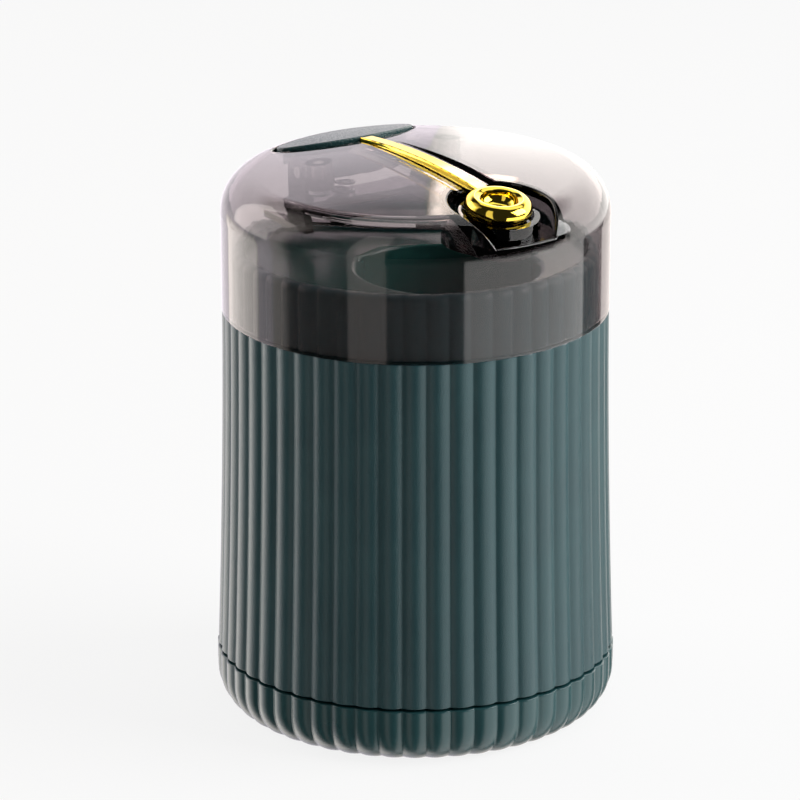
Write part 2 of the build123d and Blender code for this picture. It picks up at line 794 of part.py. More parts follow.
with BuildPart() as pick_lever:
    with BuildSketch(sweep_plane(stem_centre, stem_turns[0])):
        with BuildLine():
            Polyline(
                (-stem_width / 2, stem_radius),
                (-stem_foot_width / 2, stem_radius - stem_height),
                (stem_foot_width / 2, stem_radius - stem_height),
                (stem_width / 2, stem_radius),
                (-stem_width / 2, stem_radius),
            )
        make_face()
        fillet(vertices().group_by(Axis.Y)[-1], stem_round)
    revolve(
        axis=Axis((0, stem_centre.X, stem_centre.Y), (1, 0, 0)),
        revolution_arc=stem_turns[1] - stem_turns[0],
    )
    with BuildSketch(Plane.YZ):
        add(root_face(0))
    extrude(amount=stem_width / 2, both=True)
    with BuildSketch(under_plane):
        tongue_face(0)
    extrude(amount=-tongue_thickness)
    with BuildSketch(under_plane):
        with Locations((0, pad_screw_mid_y)):
            Circle(pad_screw_radius + seat_fit)
    extrude(amount=-tongue_thickness, mode=Mode.SUBTRACT)
    # ring: a round section with a dish and the hole that grips a pick
    with BuildSketch(ring_section):
        with BuildLine():
            ring_edge = ring_height - ring_edge_drop
            crown_middle = ((ring_crown_radius + ring_dish_radius) / 2, ring_height)
            dish_middle = (ring_dish_radius + pick_hole_radius) / 2
            Polyline((pick_hole_radius, ring_dish_floor), (pick_hole_radius, 0), (ring_foot_radius, 0))
            ThreePointArc((ring_foot_radius, 0), (ring_radius, ring_belly), (ring_crown_radius, ring_edge))
            ThreePointArc((ring_crown_radius, ring_edge), crown_middle, (ring_dish_radius, ring_edge))
            ThreePointArc(
                (ring_dish_radius, ring_edge),
                (dish_middle + ring_edge_drop, ring_dish_floor + ring_edge_drop),
                (pick_hole_radius, ring_dish_floor),
            )
        make_face()
    revolve(axis=Axis(ring_plane.origin, ring_plane.z_dir))
pick_lever.part.label = "pick_lever"
export_step(pick_lever.part, "parts/pick_lever.step")

# ---------------------------------------------------------------- pad screws

with BuildPart() as pad_screws:
    with BuildSketch(rocker_plane):
        with Locations(*pad_screws_at):
            Circle(pad_screw_radius)
    extrude(amount=pad_screw_length)
    with BuildSketch(rocker_plane):
        with Locations(*pad_screws_at):
            Circle(pad_head_radius)
    extrude(amount=-pad_head_height)
pad_screws.part.label = "pad_screws"
export_step(pad_screws.part, "parts/pad_screws.step")
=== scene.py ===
"""Looks of a press-lever toothpick dispenser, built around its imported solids.

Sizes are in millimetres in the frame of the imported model, with +Z up, the ring at the front (-Y)
and the finger pad at the rear (+Y). They become metres in the meshes. Angles are in degrees
unless their description says otherwise.
"""

import logging
import math
from collections.abc import Sequence
from dataclasses import dataclass, field
from enum import Enum

import bpy
from bpy.types import Material, Mesh, Node, NodeSocket, NodeTree, Object
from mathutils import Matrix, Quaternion, Vector

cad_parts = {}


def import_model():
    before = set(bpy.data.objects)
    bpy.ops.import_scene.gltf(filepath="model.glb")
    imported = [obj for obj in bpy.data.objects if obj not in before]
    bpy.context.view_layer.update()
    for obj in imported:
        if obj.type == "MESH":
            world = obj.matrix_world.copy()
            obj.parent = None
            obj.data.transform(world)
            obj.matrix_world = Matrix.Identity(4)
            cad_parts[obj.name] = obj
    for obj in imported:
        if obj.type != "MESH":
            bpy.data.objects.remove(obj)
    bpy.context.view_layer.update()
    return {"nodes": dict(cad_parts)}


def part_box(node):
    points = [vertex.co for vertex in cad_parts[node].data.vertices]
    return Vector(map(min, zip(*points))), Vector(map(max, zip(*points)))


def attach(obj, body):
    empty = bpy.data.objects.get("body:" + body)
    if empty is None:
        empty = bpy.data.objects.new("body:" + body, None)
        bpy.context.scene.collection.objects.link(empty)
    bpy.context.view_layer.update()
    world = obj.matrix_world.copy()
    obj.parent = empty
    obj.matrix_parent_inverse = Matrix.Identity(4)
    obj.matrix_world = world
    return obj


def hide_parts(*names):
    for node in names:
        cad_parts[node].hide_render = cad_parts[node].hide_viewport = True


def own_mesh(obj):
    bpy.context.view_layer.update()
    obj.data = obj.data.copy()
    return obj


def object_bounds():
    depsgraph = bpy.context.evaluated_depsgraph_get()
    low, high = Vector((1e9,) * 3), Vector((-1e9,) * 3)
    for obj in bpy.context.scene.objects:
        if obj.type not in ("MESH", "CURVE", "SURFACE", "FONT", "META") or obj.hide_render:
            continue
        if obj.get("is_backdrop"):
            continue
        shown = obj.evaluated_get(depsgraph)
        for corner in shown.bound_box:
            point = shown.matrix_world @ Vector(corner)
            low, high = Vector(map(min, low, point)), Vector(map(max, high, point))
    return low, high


MM = 0.001
log = logging.getLogger("dispenser")

Colour = tuple[float, float, float]
WHITE: Colour = (1.0, 1.0, 1.0)


# ---------------- values in node trees


@dataclass(frozen=True)
class Wire:
    """An output of a node tree that can be reckoned with like a number."""

    tree: NodeTree
    socket: NodeSocket

    def reckon(self, operation: str, *others: "Wire | float") -> "Wire":
        """Passes this value through a Math node.

        Args:
            operation: Name of the Math node's operation.
            others: The operation's other values.

        Returns:
            The result as a new value.
        """
        fed = dict(enumerate((self, *others)))
        return Wire(self.tree, add_node(self.tree, "ShaderNodeMath", fed, operation=operation).outputs[0])

    def __add__(self, other: "Wire | float") -> "Wire":
        """Sum of two values."""
        return self.reckon("ADD", other)

    __radd__ = __add__

    def __sub__(self, other: "Wire | float") -> "Wire":
        """Difference of two values."""
        return self.reckon("SUBTRACT", other)

    def __rsub__(self, other: float) -> "Wire":
        """Difference of a number and this value."""
        return self.reckon("MULTIPLY", -1.0).reckon("ADD", other)

    def __mul__(self, other: "Wire | float") -> "Wire":
        """Product of two values."""
        return self.reckon("MULTIPLY", other)

    __rmul__ = __mul__

    def __truediv__(self, other: "Wire | float") -> "Wire":
        """Quotient of two values."""
        return self.reckon("DIVIDE", other)

    def __rtruediv__(self, other: float) -> "Wire":
        """Quotient of a number and this value."""
        return self.reckon("POWER", -1.0) * other

    def clamped(self) -> "Wire":
        """This value held between 0 and 1."""
        return self.reckon("MAXIMUM", 0.0).reckon("MINIMUM", 1.0)

    def ramp(self, width: float) -> "Wire":
        """Mask that climbs from 0 to 1 over a width, halfway where this value is 0."""
        return (self / width + 0.5).clamped()


def add_node(
    tree: NodeTree, kind: str, fed: dict[str | int, object] | None = None, **settings: object
) -> Node:
    """Adds a node to a tree.

    Args:
        tree: The tree.
        kind: Type of the node.
        fed: What each input gets, by its name or place, with a list where it takes several.
        settings: The node's own settings.

    Returns:
        The node.
    """
    node = tree.nodes.new(kind)
    for key, value in settings.items():
        setattr(node, key, value)
    for key, value in (fed or {}).items():
        for part in value if isinstance(value, list) else [value]:
            feed(tree, node.inputs[key], part)
    return node


def feed(tree: NodeTree, socket: NodeSocket, value: object) -> None:
    """Gives an input a value.

    Args:
        tree: The tree.
        socket: The input.
        value: A value or output of the tree, which is linked, or a plain value, which is set.
    """
    if isinstance(value, Wire):
        tree.links.new(value.socket, socket)
    elif isinstance(value, NodeSocket):
        tree.links.new(value, socket)
    else:
        socket.default_value = value


def separate(tree: NodeTree, vector: NodeSocket) -> list[Wire]:
    """Splits a vector into its three values."""
    return [Wire(tree, output) for output in add_node(tree, "ShaderNodeSeparateXYZ", {0: vector}).outputs]


def combine(tree: NodeTree, *values: Wire | float) -> NodeSocket:
    """Joins three values into a vector."""
    return add_node(tree, "ShaderNodeCombineXYZ", dict(enumerate(values))).outputs[0]


# ---------------- Geometry Nodes


class ShapeTree:
    """A Geometry Nodes tree with named inputs that turns a guide mesh into a plain mesh."""

    def __init__(self, name: str) -> None:
        """Starts a tree.

        Args:
            name: Name of the tree.
        """
        self.tree = bpy.data.node_groups.new(name, "GeometryNodeTree")
        self.tree.interface.new_socket("Geometry", in_out="INPUT", socket_type="NodeSocketGeometry")
        self.start = self.tree.nodes.new("NodeGroupInput")
        self.guide = self.start.outputs["Geometry"]

    def named(self, name: str, kind: str = "NodeSocketFloat") -> Wire:
        """Adds a named input of some type and gives its value."""
        self.tree.interface.new_socket(name, in_out="INPUT", socket_type=kind)
        return Wire(self.tree, self.start.outputs[name])

    def step(self, kind: str, fed: dict[str | int, object] | None = None, **settings: object) -> NodeSocket:
        """Adds a node, as add_node does, and gives its first output."""
        return add_node(self.tree, kind, fed, **settings).outputs[0]

    def sample(self, value: NodeSocket, index: Wire) -> Wire:
        """Reads a value of the guide mesh at an index."""
        fed = {"Geometry": self.guide, "Value": value, "Index": index}
        return Wire(self.tree, self.step("GeometryNodeSampleIndex", fed))

    def raised(self, geometry: NodeSocket, rise: Wire) -> NodeSocket:
        """Moves geometry up."""
        move = combine(self.tree, 0.0, 0.0, rise)
        return self.step("GeometryNodeTransform", {"Geometry": geometry, "Translation": move})

    def close(self, geometry: NodeSocket) -> None:
        """Ends the tree in real, smoothly shaded geometry with its material.

        Args:
            geometry: What the tree has made.
        """
        self.tree.interface.new_socket("Geometry", in_out="OUTPUT", socket_type="NodeSocketGeometry")
        material = self.named("Material", "NodeSocketMaterial")
        real = self.step("GeometryNodeRealizeInstances", {"Geometry": geometry})
        smooth = self.step("GeometryNodeSetShadeSmooth", {"Geometry": real})
        dressed = self.step("GeometryNodeSetMaterial", {"Geometry": smooth, "Material": material})
        add_node(self.tree, "NodeGroupOutput", {"Geometry": dressed})

    def make(self, name: str, guide: Mesh, values: dict[str, object]) -> Object:
        """Runs the tree on a guide mesh.

        Args:
            name: Name of the piece.
            guide: Mesh that the tree starts from.
            values: Values of the named inputs.

        Returns:
            The piece, with a plain mesh.
        """
        carrier = put(f"{name}_guide", guide)
        modifier = carrier.modifiers.new(name, "NODES")
        modifier.node_group = self.tree
        for item in self.tree.interface.items_tree:
            if item.name in values:
                modifier[item.identifier] = values[item.name]
        graph = bpy.context.evaluated_depsgraph_get()
        mesh = bpy.data.meshes.new_from_object(carrier.evaluated_get(graph))
        bpy.data.objects.remove(carrier)
        mesh.name = name
        return put(name, mesh)


def put(name: str, data: bpy.types.ID) -> Object:
    """Puts a mesh, a camera or a lamp in the scene as an object at the origin.

    Args:
        name: Name of the object.
        data: The mesh, camera or lamp.

    Returns:
        The object.
    """
    thing = bpy.data.objects.new(name, data)
    bpy.context.scene.collection.objects.link(thing)
    return thing


def guide_mesh(name: str, points: Sequence[Vector], depths: Sequence[float] = ()) -> Mesh:
    """Makes a mesh of loose points, in metres.

    Args:
        name: Name of the mesh.
        points: Places of the points in millimetres.
        depths: Rib depth at each point in millimetres, or nothing.

    Returns:
        The mesh.
    """
    mesh = bpy.data.meshes.new(name)
    mesh.from_pydata([point * MM for point in points], [], [])
    if depths:
        attribute = mesh.attributes.new("rib_depth", "FLOAT", "POINT")
        attribute.data.foreach_set("value", [depth * MM for depth in depths])
    return mesh


def ribbed_wall_tree() -> ShapeTree:
    """Builds the tree that turns an outline about +Z and lays round ribs on it.

    Each point of the guide has its crest radius in X, its height in Z and a rib depth. The ribs are
    arcs that meet small round valleys at a tangent, so a depth of zero gives a plain round wall.

    Returns:
        The tree.
    """
    shape = ShapeTree("ribbed_wall")
    ribs = shape.named("Rib Count", "NodeSocketInt")
    steps = shape.named("Steps per Rib", "NodeSocketInt")
    crowding = shape.named("Crowding at Valleys")
    valley = shape.named("Valley Radius")
    merge = shape.named("Merge Distance")

    size = add_node(shape.tree, "GeometryNodeAttributeDomainSize", {"Geometry": shape.guide})
    rows = Wire(shape.tree, size.outputs["Point Count"])
    grid = shape.step("GeometryNodeMeshGrid", {"Vertices X": ribs * steps + 1.0, "Vertices Y": rows})
    index = Wire(shape.tree, shape.step("GeometryNodeInputIndex"))
    column = (index / rows).reckon("FLOOR")
    row = index - column * rows

    place = separate(shape.tree, shape.step("GeometryNodeInputPosition"))
    crest = shape.sample(place[0].socket, row)
    height = shape.sample(place[2].socket, row)
    reader, told = "GeometryNodeInputNamedAttribute", {"Name": "rib_depth"}
    stored = add_node(shape.tree, reader, told, data_type="FLOAT").outputs["Attribute"]
    depth = shape.sample(stored, row)

    half_pitch = math.pi / ribs
    turn = column / steps
    rib = turn.reckon("ROUND")
    swing = (turn - rib) * 2.0
    reach = 1.0 - (1.0 - swing.reckon("ABSOLUTE")).reckon("MAXIMUM", 0.0).reckon("POWER", crowding)
    off_crest = reach * half_pitch
    angle = rib * half_pitch * 2.0 + off_crest * swing.reckon("SIGN")

    valley_centre = crest - depth + valley
    along = valley_centre * half_pitch.reckon("COSINE")
    across = valley_centre * half_pitch.reckon("SINE")
    span = crest * crest + valley_centre * valley_centre - crest * along * 2.0 - valley * valley
    rib_radius = span / ((crest + valley - along) * 2.0)
    share = rib_radius / (rib_radius + valley)
    rib_centre = crest - rib_radius
    join = (share * across).reckon("ARCTAN2", rib_centre + share * (along - rib_centre))

    crest_side = rib_centre * off_crest.reckon("SINE")
    on_crest = rib_centre * off_crest.reckon("COSINE") + (
        (rib_radius * rib_radius - crest_side * crest_side).reckon("MAXIMUM", 0.0).reckon("SQRT")
    )
    off_valley = half_pitch - off_crest
    valley_side = valley_centre * off_valley.reckon("SINE")
    on_valley = valley_centre * off_valley.reckon("COSINE") - (
        (valley * valley - valley_side * valley_side).reckon("MAXIMUM", 0.0).reckon("SQRT")
    )
    in_valley = off_crest.reckon("GREATER_THAN", join)
    radius = on_crest + in_valley * (on_valley - on_crest)

    turned = combine(shape.tree, radius * angle.reckon("COSINE"), radius * angle.reckon("SINE"), height)
    moved = shape.step("GeometryNodeSetPosition", {"Geometry": grid, "Position": turned})
    shape.close(shape.step("GeometryNodeMergeByDistance", {"Geometry": moved, "Distance": merge}))
    return shape


def coil_tree() -> ShapeTree:
    """Builds the tree that winds a spring upwards from the guide's first point.

    Returns:
        The tree.
    """
    shape = ShapeTree("wound_coil")
    turns = shape.named("Turns")
    steps = shape.named("Steps per Turn", "NodeSocketInt")
    radius = shape.named("Coil Radius")
    height = shape.named("Height")
    wire = shape.named("Wire Radius")
    sides = shape.named("Wire Sides", "NodeSocketInt")
    winding = {"Resolution": steps, "Rotations": turns, "Height": height}
    spiral = shape.step("GeometryNodeCurveSpiral", winding | {"Start Radius": radius, "End Radius": radius})
    profile = shape.step("GeometryNodeCurvePrimitiveCircle", {"Resolution": sides, "Radius": wire})
    swept = shape.step(
        "GeometryNodeCurveToMesh", {"Curve": spiral, "Profile Curve": profile, "Fill Caps": True}
    )
    here = shape.step("GeometryNodeInputPosition")
    first = shape.step(
        "GeometryNodeSampleIndex",
        {"Geometry": shape.guide, "Value": here, "Index": 0},
        data_type="FLOAT_VECTOR",
    )
    shape.close(shape.step("GeometryNodeTransform", {"Geometry": swept, "Translation": first}))
    return shape


def screw_tree() -> ShapeTree:
    """Builds the tree that sets a screw on each point of the guide, head down.

    Returns:
        The tree.
    """
    shape = ShapeTree("set_of_screws")
    lean = shape.named("Lean")
    shank_radius = shape.named("Shank Radius")
    shank_length = shape.named("Shank Length")
    head_radius = shape.named("Head Radius")
    head_height = shape.named("Head Height")
    head_rows = shape.named("Head Rows", "NodeSocketInt")
    thread_pitch = shape.named("Thread Pitch")
    thread_depth = shape.named("Thread Depth")
    thread_rows = shape.named("Rows per Thread")
    slot_size = shape.named("Slot Size", "NodeSocketVector")
    sides = shape.named("Sides", "NodeSocketInt")

    cylinder = "GeometryNodeMeshCylinder"
    fed = {"Vertices": sides, "Side Segments": head_rows, "Radius": head_radius, "Depth": head_height}
    head = shape.raised(shape.step(cylinder, fed), head_height * -0.5)
    slot = shape.step("GeometryNodeMeshCube", {"Size": slot_size})
    quarter = (0, 0, math.pi / 2)
    crossed = shape.step("GeometryNodeTransform", {"Geometry": slot, "Rotation": quarter})
    cross = shape.step("GeometryNodeMeshBoolean", {1: [slot, crossed]}, operation="UNION")
    sunk = shape.raised(cross, head_height * -1.0)
    cut = shape.step("GeometryNodeMeshBoolean", {0: head, 1: sunk}, operation="DIFFERENCE")

    rows = shank_length / thread_pitch * thread_rows
    fed = {"Vertices": sides, "Side Segments": rows, "Radius": shank_radius, "Depth": shank_length}
    shank = shape.step(cylinder, fed)
    place = separate(shape.tree, shape.step("GeometryNodeInputPosition"))
    turn = place[1].reckon("ARCTAN2", place[0])
    wave = (place[2] / thread_pitch * math.tau + turn).reckon("COSINE")
    cutback = 1.0 - (wave + 1.0) * 0.5 * thread_depth / shank_radius
    thread = combine(shape.tree, place[0] * cutback, place[1] * cutback, place[2])
    threaded = shape.step("GeometryNodeSetPosition", {"Geometry": shank, "Position": thread})
    shank = shape.raised(threaded, shank_length * 0.5)
    screw = shape.step("GeometryNodeJoinGeometry", {"Geometry": [cut, shank]})
    placed = shape.step(
        "GeometryNodeInstanceOnPoints",
        {
            "Points": shape.step("GeometryNodeMeshToPoints", {"Mesh": shape.guide}),
            "Instance": screw,
            "Rotation": combine(shape.tree, lean, 0.0, 0.0),
        },
    )
    shape.close(placed)
    return shape


# ---------------- outlines of turned pieces


@dataclass
class Outline:
    """Closed outline in the half plane of radius and height, walked with the solid on the left."""

    corners: list[tuple[Vector, float, float]] = field(default_factory=list)
    arc_steps: int = 4
    guard: float = 0.5

    def to(self, radius: float, height: float, rib: float = 0.0, rounding: float = 0.0) -> None:
        """Adds a corner with its rib depth and the radius that rounds it."""
        self.corners.append((Vector((radius, height)), rib, rounding))

    def plain(self, rounding: float, *corners: tuple[float, float]) -> None:
        """Adds corners without ribs that are rounded alike, each by its radius and height."""
        for radius, height in corners:
            self.to(radius, height, 0.0, rounding)

    def rounded(self, before: Vector, corner: Vector, after: Vector, rounding: float) -> list[Vector]:
        """Rounds a corner, with a guard point on each side that keeps the flats flat.

        Args:
            before: The corner before it.
            corner: The corner.
            after: The corner after it.
            rounding: Radius of the arc.

        Returns:
            The points that take the corner's place.
        """
        back = (before - corner).normalized()
        ahead = (after - corner).normalized()
        half = back.angle(ahead) / 2
        run = rounding / math.tan(half)
        centre = corner + (back + ahead).normalized() * (rounding / math.sin(half))
        first = corner + back * run - centre
        last = corner + ahead * run - centre
        swing = first.angle_signed(last)
        points = [corner + back * run * (1 + self.guard)]
        for step in range(self.arc_steps + 1):
            turn = -swing * step / self.arc_steps
            cosine, sine = math.cos(turn), math.sin(turn)
            off = Vector((first.x * cosine - first.y * sine, first.x * sine + first.y * cosine))
            points.append(centre + off)
        points.append(corner + ahead * run * (1 + self.guard))
        return points

    def points(self) -> tuple[list[Vector], list[float]]:
        """Works out the outline.

        Returns:
            Its points, the first one again at the end, and the rib depth at each.
        """
        places: list[Vector] = []
        depths: list[float] = []
        count = len(self.corners)
        for number, (corner, rib, rounding) in enumerate(self.corners):
            before = self.corners[number - 1][0]
            after = self.corners[(number + 1) % count][0]
            found = self.rounded(before, corner, after, rounding) if rounding else [corner]
            places += [Vector((point.x, 0.0, point.y)) for point in found]
            depths += [rib] * len(found)
        return [*places, places[0]], [*depths, depths[0]]


# ---------------- shader groups


FROST_DETAIL = 2.0
FROST_ROUGHNESS = 0.6
CELL_STEEPNESS = 4.0
CREASE_DETAIL = 3.0
CREASE_FINENESS = 3.0
CREASE_SHARE = 0.3
CLOUD_DETAIL = 4.0


class Grain(Enum):
    """Kinds of fine surface relief."""

    FROSTED = "frosted"
    LEATHER = "leather"


def start_group(
    name: str, inputs: dict[str, float], output: str, kind: str
) -> tuple[NodeTree, dict[str, Wire], NodeSocket]:
    """Starts a shader group with numbers as inputs and one output.

    Args:
        name: Name of the group.
        inputs: The usual value of each input, by name.
        output: Name of the output.
        kind: Type of the output's socket.

    Returns:
        The group, its inputs' values by name, and the socket that takes its result.
    """
    tree = bpy.data.node_groups.new(name, "ShaderNodeTree")
    for key, value in inputs.items():
        socket = tree.interface.new_socket(key, in_out="INPUT", socket_type="NodeSocketFloat")
        socket.default_value = value
    tree.interface.new_socket(output, in_out="OUTPUT", socket_type=kind)
    start = tree.nodes.new("NodeGroupInput")
    end = tree.nodes.new("NodeGroupOutput")
    return tree, {key: Wire(tree, start.outputs[key]) for key in inputs}, end.inputs[output]


def relief_group(grain: Grain) -> NodeTree:
    """Builds the group that gives the normal of a fine relief.

    Args:
        grain: Kind of relief.

    Returns:
        The group, with the inputs Size and Depth in metres and Amount, and the output Normal.
    """
    usual = {"Size": 0.0002, "Depth": 0.00002, "Amount": 1.0}
    tree, inputs, result = start_group(f"{grain.value}_relief", usual, "Normal", "NodeSocketVector")
    place = tree.nodes.new("ShaderNodeTexCoord").outputs["Object"]
    scale = 1.0 / inputs["Size"]
    if grain is Grain.FROSTED:
        look = {"Vector": place, "Scale": scale, "Detail": FROST_DETAIL, "Roughness": FROST_ROUGHNESS}
        relief = Wire(tree, add_node(tree, "ShaderNodeTexNoise", look).outputs["Fac"])
    else:
        look = {"Vector": place, "Scale": scale}
        cells = add_node(tree, "ShaderNodeTexVoronoi", look, feature="DISTANCE_TO_EDGE")
        look = {"Vector": place, "Scale": scale * CREASE_FINENESS, "Detail": CREASE_DETAIL}
        creases = add_node(tree, "ShaderNodeTexNoise", look)
        relief = (Wire(tree, cells.outputs["Distance"]) * CELL_STEEPNESS).clamped() * (1 - CREASE_SHARE)
        relief = relief + Wire(tree, creases.outputs["Fac"]) * CREASE_SHARE
    fed = {"Distance": inputs["Depth"], "Strength": inputs["Amount"], "Height": relief}
    feed(tree, result, add_node(tree, "ShaderNodeBump", fed).outputs["Normal"])
    return tree


def cloud_group() -> NodeTree:
    """Builds the group that gives a soft uneven mask, for handling marks and uneven moulding.

    Returns:
        The group, with the inputs Size in metres and Contrast, and the output Mask.
    """
    usual = {"Size": 0.01, "Contrast": 1.0}
    tree, inputs, result = start_group("soft_clouds", usual, "Mask", "NodeSocketFloat")
    place = tree.nodes.new("ShaderNodeTexCoord").outputs["Object"]
    look = {"Vector": place, "Scale": 1.0 / inputs["Size"], "Detail": CLOUD_DETAIL}
    centred = Wire(tree, add_node(tree, "ShaderNodeTexNoise", look).outputs["Fac"]) - 0.5
    feed(tree, result, (centred * inputs["Contrast"] + 0.5).clamped())
    return tree


@dataclass
class Groups:
    """The shader groups that the finishes share."""

    reliefs: dict[Grain, NodeTree] = field(default_factory=lambda: {g: relief_group(g) for g in Grain})
    clouds: NodeTree = field(default_factory=cloud_group)


# ---------------- finishes


def opaque(colour: Colour) -> tuple[float, float, float, float]:
    """A colour with full alpha."""
    return (*colour, 1.0)


class Draft:
    """A new material with a Principled shader, and short ways to wire it."""

    def __init__(self, name: str) -> None:
        """Starts a material.

        Args:
            name: Name of the material.
        """
        self.material = bpy.data.materials.new(name)
        self.material.use_nodes = True
        self.tree = self.material.node_tree
        self.shader = self.tree.nodes["Principled BSDF"]
        self.output = self.tree.nodes["Material Output"]

    def fix(self, **values: object) -> None:
        """Sets the shader's plain values, with _ for each space in a name."""
        for name, value in values.items():
            self.shader.inputs[name.replace("_", " ")].default_value = value

    def group(self, tree: NodeTree, **values: float) -> Node:
        """Places a shader group with its own values."""
        return add_node(self.tree, "ShaderNodeGroup", values, node_tree=tree)

    def link(self, value: Wire | NodeSocket, name: str) -> None:
        """Feeds a value to one of the shader's inputs."""
        feed(self.tree, self.shader.inputs[name], value)

    def between(self, mask: Wire, low: Colour, high: Colour) -> NodeSocket:
        """A colour that goes from one to another with a mask."""
        fed = {"Factor": mask, "A": opaque(low), "B": opaque(high)}
        return add_node(self.tree, "ShaderNodeMix", fed, data_type="RGBA").outputs["Result"]

    def give_way(self, mask: Wire | NodeSocket, kind: str) -> None:
        """Lets another shader take over where a mask is 1.

        Args:
            mask: The mask.
            kind: Type of the other shader's node.
        """
        other = self.tree.nodes.new(kind).outputs[0]
        mix = add_node(self.tree, "ShaderNodeMixShader", {0: mask, 1: self.shader.outputs[0], 2: other})
        feed(self.tree, self.output.inputs["Surface"], mix.outputs[0])


@dataclass(frozen=True)
class Solid:
    """A finish that no light passes: two near colours in soft clouds, under a fine relief."""

    name: str
    colour: Colour
    other: Colour
    roughness: float
    roughness_swing: float = 0.06  # from smoothest to roughest, about the roughness
    grain: Grain = Grain.FROSTED
    grain_size: float = 0.2
    grain_depth: float = 0.02
    grain_amount: float = 0.3
    cloud_size: float = 9.0
    cloud_contrast: float = 2.0
    metallic: float = 0.0

    def material(self, groups: Groups) -> Material:
        """Makes the material.

        Args:
            groups: The shared shader groups.

        Returns:
            The material.
        """
        draft = Draft(self.name)
        draft.fix(Metallic=self.metallic)
        relief = draft.group(
            groups.reliefs[self.grain],
            Size=self.grain_size * MM,
            Depth=self.grain_depth * MM,
            Amount=self.grain_amount,
        )
        clouds = draft.group(groups.clouds, Size=self.cloud_size * MM, Contrast=self.cloud_contrast)
        mask = Wire(draft.tree, clouds.outputs["Mask"])
        draft.link(relief.outputs["Normal"], "Normal")
        draft.link(draft.between(mask, self.colour, self.other), "Base Color")
        draft.link(mask * self.roughness_swing + (self.roughness - self.roughness_swing / 2), "Roughness")
        return draft.material


@dataclass(frozen=True)
class Moulding(Solid):
    """Opaque moulded plastic."""


@dataclass(frozen=True)
class Metal(Solid):
    """Bright metal or metal plating."""

    roughness_swing: float = 0.05
    grain_size: float = 0.6
    grain_depth: float = 0.01
    grain_amount: float = 0.05
    cloud_size: float = 3.0
    cloud_contrast: float = 2.5
    metallic: float = 1.0


class Rays:
    """Masks of the kinds of rays that meet a material or the surroundings."""

    def __init__(self, tree: NodeTree) -> None:
        """Takes the tree of a material or of the surroundings."""
        self.tree = tree
        self.path = tree.nodes.new("ShaderNodeLightPath")

    def kind(self, name: str) -> Wire:
        """What Light Path says of a ray."""
        return Wire(self.tree, self.path.outputs[name])

    def bounced(self, kind: str) -> Wire:
        """1 for rays that have bounced in some way, and 0 for the rest."""
        return self.kind(f"{kind} Depth").reckon("GREATER_THAN", 0.5)

    def seen_directly(self) -> Wire:
        """1 for rays from the camera, also on through clear plastic, and 0 for the rest."""
        straight = (1.0 - self.bounced("Glossy")) * (1.0 - self.bounced("Diffuse"))
        return self.kind("Is Camera Ray").reckon("MAXIMUM", self.kind("Is Transmission Ray") * straight)

    def mirrored_once(self) -> Wire:
        """1 for rays that a polished surface mirrors to the camera, also on through clear plastic."""
        return self.kind("Is Glossy Ray") * self.bounced("Glossy") * (1.0 - self.bounced("Diffuse"))


@dataclass(frozen=True)
class Smoke:
    """Polished see-through smoked plastic, darker the thicker it is."""

    name: str
    tint: Colour
    density: float
    roughness: float = 0.015
    index: float = 1.49
    swirl_size: float = 14.0
    swirl_depth: float = 0.02
    swirl_contrast: float = 1.0
    # painted shade: dark base colour on the wall of the spout's well, standing in for the shade in that
    # recess and for the thicker smoke of its wall
    well_painted_shade: Colour = (0.06, 0.05, 0.055)
    well_edge: float = 0.4

    def off_painted_shade(self, tree: NodeTree, foot: Vector, radius: float) -> Wire:
        """Makes the mask of the painted shade: 0 in an upright well above its foot, where the shade is
        painted, and 1 everywhere else.

        Args:
            tree: The material's tree.
            foot: Middle of the well's foot in millimetres.
            radius: Radius of the well in millimetres.

        Returns:
            The mask.
        """
        across, along, height = separate(tree, tree.nodes.new("ShaderNodeTexCoord").outputs["Object"])
        across = across / MM - foot.x
        along = along / MM - foot.y
        off = (across * across + along * along).reckon("SQRT")
        under = (foot.z - height / MM).ramp(self.well_edge)
        return (off - radius).ramp(self.well_edge).reckon("MAXIMUM", under)

    def material(self, groups: Groups, well: tuple[Vector, float] | None = None) -> Material:
        """Makes the material, which swallows light inside and lets the rest of the lamps' through.

        Args:
            groups: The shared shader groups.
            well: Foot and radius in millimetres of an upright well whose wall gets painted shade, a dark base
                colour, if any.

        Returns:
            The material.
        """
        draft = Draft(self.name)
        draft.fix(Base_Color=opaque(WHITE), Transmission_Weight=1.0, IOR=self.index)
        # painted shade: the well's wall takes a dark base colour, the rest stays clear
        if well:
            unshaded = self.off_painted_shade(draft.tree, *well)
            draft.link(draft.between(unshaded, self.well_painted_shade, WHITE), "Base Color")
        body = {"Color": opaque(self.tint), "Density": self.density}
        smoke = add_node(draft.tree, "ShaderNodeVolumeAbsorption", body)
        feed(draft.tree, draft.output.inputs["Volume"], smoke.outputs[0])
        clouds = draft.group(groups.clouds, Size=self.swirl_size * MM, Contrast=self.swirl_contrast)
        mask = Wire(draft.tree, clouds.outputs["Mask"])
        bump = add_node(draft.tree, "ShaderNodeBump", {"Distance": self.swirl_depth * MM, "Height": mask})
        draft.link(bump.outputs["Normal"], "Normal")
        draft.link(mask * self.roughness, "Roughness")
        draft.give_way(Rays(draft.tree).kind("Is Shadow Ray"), "ShaderNodeBsdfTransparent")
        return draft.material


